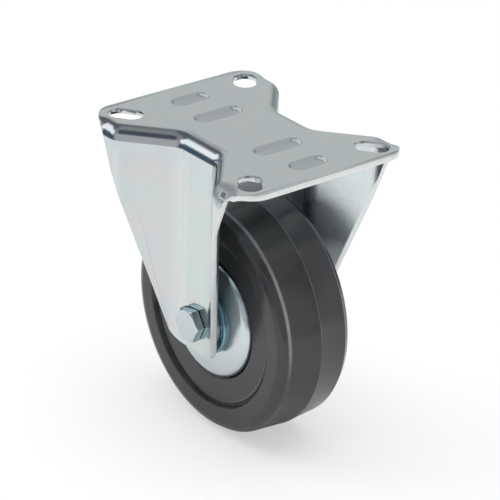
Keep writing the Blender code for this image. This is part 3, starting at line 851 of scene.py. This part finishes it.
def ramp(tree, source, stops):
    node = add(tree, "ValToRGB", {"Fac": source})
    elements = node.color_ramp.elements
    while len(elements) < len(stops):
        elements.new(0.5)
    for element, (position, colour) in zip(elements, stops):
        element.position = position
        element.color = (*colour, 1)
    return node.outputs["Color"]


def bump(tree, height, strength, distance):
    return add(tree, "Bump", {"Height": height, "Strength": strength,
                              "Distance": distance}).outputs["Normal"]


def object_axis(tree, axis):
    place = add(tree, "TexCoord").outputs["Object"]
    return add(tree, "SeparateXYZ", {"Vector": place}).outputs[axis]


def away_from(tree, **axes):
    """The length of a vector, of which the axes named are given and the rest are 0."""
    vector = add(tree, "CombineXYZ", axes).outputs["Vector"]
    return add(tree, "VectorMath", {0: vector}, operation="LENGTH").outputs["Value"]


def line_at(tree, measure, middle, half_width):
    """1 where the measure is at middle, falling to 0 at half_width to each side."""
    off = calculate(tree, "ABSOLUTE", calculate(tree, "SUBTRACT", measure, middle))
    return fade(tree, off, half_width, half_width * 0.3)


# %% Zinc plate
def zinc_plate(name, tone, low, high, red_share=1.0, blue_share=1.0):
    """Plated steel of a tone, with roughness from low to high, and its red and blue scaled."""
    material, tree, shader = finish(name)
    red, blue = tone * red_share, tone * blue_share
    tint = ramp(tree, noise(tree, 21.0, 2.0), [
        (0.30, (red * 0.99, tone * 0.985, blue * 0.975)),
        (0.41, (red * 0.925, tone, blue * 0.985)),
        (0.50, (red * 0.985, tone * 0.975, blue * 0.96)),
        (0.59, (red * 0.91, tone * 0.985, blue)),
        (0.70, (red, tone * 0.965, blue * 0.965)),
    ])
    feed(tree, shader, {
        "Metallic": 1.0,
        "Base Color": tint,
        "Roughness": spread(tree, noise(tree, 420.0, 3.0, 0.6), low, high),
        "Normal": bump(tree, noise(tree, 90.0, 2.0), 0.12, 0.0004),
    })
    return material


fork_zinc = zinc_plate("zinc_plate", 0.72, 0.12, 0.20)
# The inner faces get a paler copy of the same zinc: painted light.
inner_zinc_lightened = zinc_plate("zinc_plate_inside_lightened", 0.92, 0.26, 0.36, 0.95, 1.01)
# The beads' hollows get a darker, rougher copy of the zinc: painted shade, and a duller surface.
bead_zinc_shaded = zinc_plate("zinc_plate_bead_shaded", 0.66, 0.28, 0.38, 0.97, 1.01)
cup_zinc = zinc_plate("zinc_plate_cup", 0.76, 0.18, 0.26, 0.94, 1.035)
# A dark blue copy of the zinc for the hub: painted shade in the gap beside the legs.
hub_shade_zinc = zinc_plate("zinc_plate_hub_painted_shade", 0.46, 0.26, 0.36, 0.62, 1.22)
bright_zinc = zinc_plate("zinc_plate_bright", 0.68, 0.12, 0.18, 0.94, 1.03)
# A darker copy of the bolt's zinc for the hexagon's sides: painted shade.
facet_shade_zinc = zinc_plate("zinc_plate_facet_painted_shade", 0.50, 0.14, 0.22, 0.80, 1.08)

# %% [markdown]
# The leg shows upright bands: partly a tint of the plating film that varies along the fork,
# partly painted highlights and painted shade along the creases. They follow the place along the
# fork, and fade out towards the plate. The punch has roughened the plating round its mark, and
# grease from the hub dulls the inner faces beside the wheel.

# %% Tint and painted crease light on the legs, the roughened mark and the greasy inside
# Colour multipliers by place along X: a varying tint of the plating, with painted highlights and
# painted shade at the creases.
TINT_AND_SHEEN_BANDS = [
    (-40.0, (0.99, 0.985, 0.98)), (-33.0, (0.99, 0.99, 0.985)), (-31.2, (1.03, 1.06, 1.06)),
    (-29.0, (0.93, 0.965, 0.99)), (-24.0, (0.985, 0.98, 0.975)), (-15.0, (0.975, 0.975, 0.985)),
    (-11.0, (1.04, 1.045, 1.04)), (-6.0, (1.03, 1.05, 1.045)), (-4.0, (0.955, 1.0, 0.985)),
    (6.0, (0.965, 1.02, 0.995)), (9.0, (0.93, 0.975, 0.985)), (11.5, (0.90, 0.95, 0.965)),
    (14.0, (0.98, 0.98, 0.98)), (30.0, (0.98, 0.98, 0.98)), (33.0, (1.02, 1.0, 0.99)),
]


def tint_and_sheen_fork(tree):
    shader = tree.nodes["Principled BSDF"]
    along = scaled(tree, object_axis(tree, "X"), -50 * MM, 50 * MM)
    tint_and_sheen = ramp(tree, along, [((x + 50) / 100, colour) for x, colour in TINT_AND_SHEEN_BANDS])
    down = fade(tree, object_axis(tree, "Z"), -7 * MM, -13 * MM)
    plain = shader.inputs["Base Color"].links[0].from_socket
    feed(tree, shader, {"Base Color": blend(tree, plain, down, tint_and_sheen, "MULTIPLY")})


def roughen(tree, extra):
    shader = tree.nodes["Principled BSDF"]
    rough = shader.inputs["Roughness"].links[0].from_socket
    feed(tree, shader, {"Roughness": calculate(tree, "ADD", rough, extra)})


def from_mark(tree):
    """The distance from the nearer of the two pits on the front folds."""
    half = calculate(tree, "ABSOLUTE", object_axis(tree, "Y"))
    return away_from(tree, X=calculate(tree, "SUBTRACT", object_axis(tree, "X"), MARK_X),
                     Y=calculate(tree, "SUBTRACT", half, 40.0 * MM),
                     Z=calculate(tree, "ADD", object_axis(tree, "Z"), 2.6 * MM))


skin, inside = fork_zinc.node_tree, inner_zinc_lightened.node_tree
tint_and_sheen_fork(skin)
roughen(skin, fade(skin, from_mark(skin), 8.0 * MM, 3.5 * MM, 0.0, 0.42))
roughen(inside, fade(inside, object_axis(inside, "Z"), -46 * MM, -56 * MM, 0.0, 0.40))
print("fork finish nodes:", len(skin.nodes))

# %% [markdown]
# Where the sheet was sheared, the plating lies on torn steel. It is paler and much duller
# than the rolled skin, so every cut edge reads as a plain light line. Fine lines run through
# the sheet's thickness, from the shear. A darker kind of this pale, dull finish is a painted
# highlight on the pits' walls and on the steep ends of the beads.

# %% Sheared faces, and pale painted highlights on pit walls and bead ends
def sheared_edge(name, tone=1.0):
    material, tree, shader = finish(name)
    lines = noise(tree, 260.0, 3.0, 0.6, (1, 1, 0.35))
    feed(tree, shader, {
        "Metallic": 0.3,
        "Base Color": ramp(tree, lines, [(0.3, (0.90 * tone, 0.91 * tone, 0.89 * tone)),
                                         (0.7, (0.97 * tone, 0.98 * tone, 0.96 * tone))]),
        "Roughness": spread(tree, lines, 0.34, 0.5),
        "Normal": bump(tree, lines, 0.2, 0.0002),
    })
    return material


torn_zinc = sheared_edge("zinc_sheared_edge")
painted_glint_zinc = sheared_edge("zinc_painted_glint", 0.62)
# A dark, dull copy of the zinc: painted shade in the pit's hollow.
pit_shade_zinc = zinc_plate("zinc_pit_floor_painted_shade", 0.30, 0.40, 0.55, 0.92, 1.03)

# %% [markdown]
# The rubber is a filled, nearly black compound. A mould leaves it satin: dull at a steep
# angle, with a soft sheen where it turns away. Fine grain in the roughness and a little
# unevenness in the surface keep it from looking like plastic. A painted highlight lies grey on
# the near shoulder's fine edge and on the parting line, in patches that grow towards the top of
# the wheel; painted shade darkens the foot of the step, and a pale painted highlight lies on the
# ledge.

# %% Rubber
def tyre_rubber():
    material, tree, shader = finish("tyre_rubber")
    height = object_axis(tree, "Z")
    along_axle = object_axis(tree, "Y")
    from_axle = calculate(tree, "SUBTRACT", height, AXLE.z)
    radius = away_from(tree, X=object_axis(tree, "X"), Z=from_axle)
    # The painted highlight comes in patches and fades out towards the bottom of the wheel.
    patches = spread(tree, noise(tree, 55.0, 3.0, 0.6), 0.3, 1.0)
    painted_highlight_mask = calculate(tree, "MULTIPLY", patches, fade(tree, height, -88 * MM, -66 * MM, 0.2))
    colour = ramp(tree, noise(tree, 30.0, 3.0, 0.55),
                  [(0.35, (0.043, 0.042, 0.044)), (0.65, (0.052, 0.051, 0.053))])
    # Painted highlights on the shoulder's edge, the parting line and the ledge, and painted shade
    # at the step's foot.
    for measure, middle, half_width, strength, painted_light in (
            (along_axle, -14.0 * MM, 0.75 * MM, painted_highlight_mask, (0.34, 0.335, 0.34)),
            (along_axle, 0.7 * MM, 0.3 * MM, painted_highlight_mask, (0.17, 0.168, 0.17)),
            (radius, 37.0 * MM, 1.2 * MM, 0.85, (0.010, 0.010, 0.010)),
            (radius, 35.5 * MM, 0.3 * MM, 0.5, (0.10, 0.10, 0.10))):
        line = line_at(tree, measure, middle, half_width)
        colour = blend(tree, colour, calculate(tree, "MULTIPLY", line, strength), (*painted_light, 1))
    grain = noise(tree, 900.0, 3.0, 0.6)
    feed(tree, shader, {
        "Base Color": colour,
        "Roughness": spread(tree, grain, 0.13, 0.20),
        "Normal": bump(tree, grain, 0.06, 0.0002),
    })
    return material


rubber = tyre_rubber()

# %% Nylon and ground bearing steel
def milky_nylon():
    material, tree, shader = finish("natural_nylon")
    clouds = noise(tree, 60.0, 2.0)
    feed(tree, shader, {
        "Base Color": ramp(tree, clouds, [(0.3, (0.62, 0.60, 0.53)), (0.7, (0.70, 0.68, 0.61))]),
        "Roughness": spread(tree, clouds, 0.35, 0.5),
        "Subsurface Weight": 0.15,
        "Subsurface Radius": (0.002, 0.0018, 0.0014),
        "Subsurface Scale": 0.5,
    })
    return material


def ground_steel():
    material, tree, shader = finish("ground_steel")
    lines = noise(tree, 300.0, 2.0, 0.5, (1, 14, 1))
    feed(tree, shader, {
        "Metallic": 1.0,
        "Base Color": ramp(tree, lines, [(0.3, (0.55, 0.55, 0.56)), (0.7, (0.64, 0.64, 0.65))]),
        "Roughness": spread(tree, lines, 0.14, 0.26),
    })
    return material


nylon = milky_nylon()
steel = ground_steel()

# %% Each piece gets its finish
def paint(piece, material):
    piece.data.materials.clear()
    piece.data.materials.append(material)


def paint_faces(piece, material, faces):
    piece.data.materials.append(material)
    for index in faces:
        piece.data.polygons[index].material_index = len(piece.data.materials) - 1


paint(fork, fork_zinc)
for kind, material in (("sheared", torn_zinc), ("inner", inner_zinc_lightened), ("painted_glint", painted_glint_zinc),
                       ("pit", pit_shade_zinc), ("bead", bead_zinc_shaded)):
    paint_faces(fork, material, fork_faces[kind])
for piece in cups:
    paint(piece, cup_zinc)
paint(hub, hub_shade_zinc)
for piece in (head, shaft, nut):
    paint(piece, bright_zinc)
# The head's side faces take the darker zinc as painted shade.
facets = [face.index for face in head.data.polygons if abs(face.normal.y) < 0.4]
paint_faces(head, facet_shade_zinc, facets)
paint(tyre, rubber)
paint(lock_ring, nylon)
for name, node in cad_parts.items():
    if name == "bearing_cage":
        paint(node, nylon)
    elif name.startswith(("roller_", "thrust_", "bearing_sleeve")):
        paint(node, steel)
print("materials:", [material.name for material in bpy.data.materials])

# %% [markdown]
# ## Studio
# The castor stands on a pale floor under a large soft light, as in a product photograph.
# The camera sees plain white behind it. The floor answers each kind of ray too: half of
# what the camera sees is glow, so the shadow stays soft, and in mirrors it ends a short way
# from the wheel, as the photographer's table does.

# %% Floor
bpy.ops.object.select_all(action="DESELECT")
bpy.ops.mesh.primitive_plane_add(size=6.0, location=(0, 0, -128.0 * MM))
floor = bpy.context.object
floor.name = "floor"
floor_paint, tree, shader = finish("floor_paint")
rays = add(tree, "LightPath").outputs
feed(tree, shader, {
    "Roughness": 0.8,
    "Specular IOR Level": 0.1,
    "Base Color": blend(tree, (0.86, 0.86, 0.86, 1), rays["Is Camera Ray"], (0.99, 0.99, 0.99, 1)),
})
from_castor = away_from(tree, X=object_axis(tree, "X"), Y=object_axis(tree, "Y"))
out_there = fade(tree, from_castor, 0.34, 0.46)
surface = mix_shaders(tree, calculate(tree, "MULTIPLY", out_there, rays["Is Glossy Ray"]),
                      shader.outputs["BSDF"], add(tree, "BsdfTransparent").outputs["BSDF"])
surface = mix_shaders(tree, calculate(tree, "MULTIPLY", rays["Is Camera Ray"], 0.5), surface,
                      add(tree, "Emission", {"Strength": 1.0}).outputs["Emission"])
feed(tree, tree.nodes["Material Output"], {"Surface": surface})
paint(floor, floor_paint)

# %% [markdown]
# The world answers each kind of ray. The camera gets plain white, matt surfaces get an
# even light, and mirrors get a room. It is built up in layers, each laid over the ones
# before: a dark lower part, pale patches above, behind and on the right, a dark one above the
# front, a paler front, a dark patch above the left, the pale wall behind that the plate
# mirrors, and a bright soft panel on the left.

# %% World
world = bpy.data.worlds.new("studio")
scene.world = world
world.use_nodes = True
room = world.node_tree
room.nodes.clear()
direction = add(room, "TexCoord").outputs["Generated"]


def towards(aim, soft_from, soft_to):
    """1 where the room is seen within a cone about aim, given as cosines, and 0 outside."""
    along = add(room, "VectorMath", {0: direction, 1: Vector(aim).normalized()},
                operation="DOT_PRODUCT").outputs["Value"]
    return fade(room, along, soft_from, soft_to)


def between(low, high, soft):
    """1 where the height of the direction lies between low and high."""
    height = add(room, "SeparateXYZ", {"Vector": direction}).outputs["Z"]
    return calculate(room, "MULTIPLY", fade(room, height, low - soft, low + soft),
                     fade(room, height, high + soft, high - soft))


def both_of(first, second):
    return calculate(room, "MULTIPLY", first, second)


room_colour = (0.27, 0.28, 0.30, 1)
for mask, colour in (
        (between(-1.0, 0.16, 0.04), (0.065, 0.105, 0.145)),
        (towards((0.15, 0.56, 0.80), 0.78, 0.90), (0.55, 0.565, 0.59)),
        (towards((-0.697, 0.70, -0.12), 0.88, 0.97), (0.40, 0.43, 0.45)),
        (towards((0.80, 0.58, 0.10), 0.80, 0.93), (0.62, 0.63, 0.64)),
        (towards((0.25, -0.55, 0.79), 0.91, 0.99), (0.07, 0.08, 0.12)),
        (both_of(towards((0.45, -0.85, 0.10), 0.70, 0.90), between(-0.6, 0.56, 0.05)),
         (0.47, 0.48, 0.51)),
        (towards((-0.698, -0.101, 0.709), 0.85, 0.95), (0.12, 0.13, 0.16)),
        (towards((-0.698, 0.564, 0.4425), 0.84, 0.975), (0.60, 0.63, 0.635)),
        (both_of(towards((-0.70, -0.58, 0.42), 0.84, 0.92), between(0.24, 0.62, 0.04)),
         (1.12, 1.18, 1.25))):
    room_colour = blend(room, room_colour, mask, (*colour, 1))

WHITE = (1.0, 1.0, 1.0, 1)
rays = add(room, "LightPath").outputs
sky = add(room, "Background", {"Color": (0.60, 0.61, 0.62, 1)}).outputs["Background"]
for ray, seen in (("Is Glossy Ray", room_colour), ("Is Transmission Ray", WHITE),
                  ("Is Camera Ray", WHITE)):
    light = add(room, "Background", {"Color": seen}).outputs["Background"]
    sky = mix_shaders(room, rays[ray], sky, light)
add(room, "OutputWorld", {"Surface": sky})

# %% Lamps, hidden from mirrors
def panel(name, place, target, size, power):
    light = bpy.data.lights.new(name, "AREA")
    light.shape = "RECTANGLE"
    light.size = light.size_y = size
    light.energy = power
    lamp = bpy.data.objects.new(name, light)
    scene.collection.objects.link(lamp)
    lamp.location = place
    lamp.rotation_euler = (Vector(target) - Vector(place)).to_track_quat("-Z", "Y").to_euler()
    lamp.visible_glossy = False


panel("overhead", (0.1, 0.1, 1.5), (0, 0, -0.08), 1.6, 13)
panel("front_left", (-1.0, -0.75, 0.75), (0, 0, -0.06), 0.9, 6)

# %% [markdown]
# The camera's place, turn and lens were fitted to the photograph, by matching the outlines of
# the wheel, the slots and the legs. The fit gives the lens as a focal length in pixels.

# %% Camera, at the photograph's place
TARGET = Vector((-109.74, 91.83, -123.07)) * MM
DISTANCE = 1267.85 * MM
FOCAL_PIXELS = 2764.85
PICTURE_PIXELS = 500
azimuth, elevation, roll = math.radians(51.07), math.radians(26.26), math.radians(1.81)
back = Vector((math.sin(azimuth) * math.cos(elevation), -math.cos(azimuth) * math.cos(elevation),
               math.sin(elevation)))
right = Vector((math.cos(azimuth), math.sin(azimuth), 0))
above = back.cross(right)
across = right * math.cos(roll) + above * math.sin(roll)
upward = above * math.cos(roll) - right * math.sin(roll)
lens = bpy.data.cameras.new("camera")
lens.sensor_width = 36.0
lens.lens = FOCAL_PIXELS / PICTURE_PIXELS * lens.sensor_width
lens.clip_start, lens.clip_end = 0.05, 20.0
camera = bpy.data.objects.new("camera", lens)
scene.collection.objects.link(camera)
turn = Matrix((across, upward, back)).transposed()
camera.matrix_world = Matrix.Translation(TARGET + back * DISTANCE) @ turn.to_4x4()
scene.camera = camera
scene.view_settings.view_transform = "Standard"
print("lens", round(lens.lens, 1), "camera at", [round(c, 3) for c in camera.location])
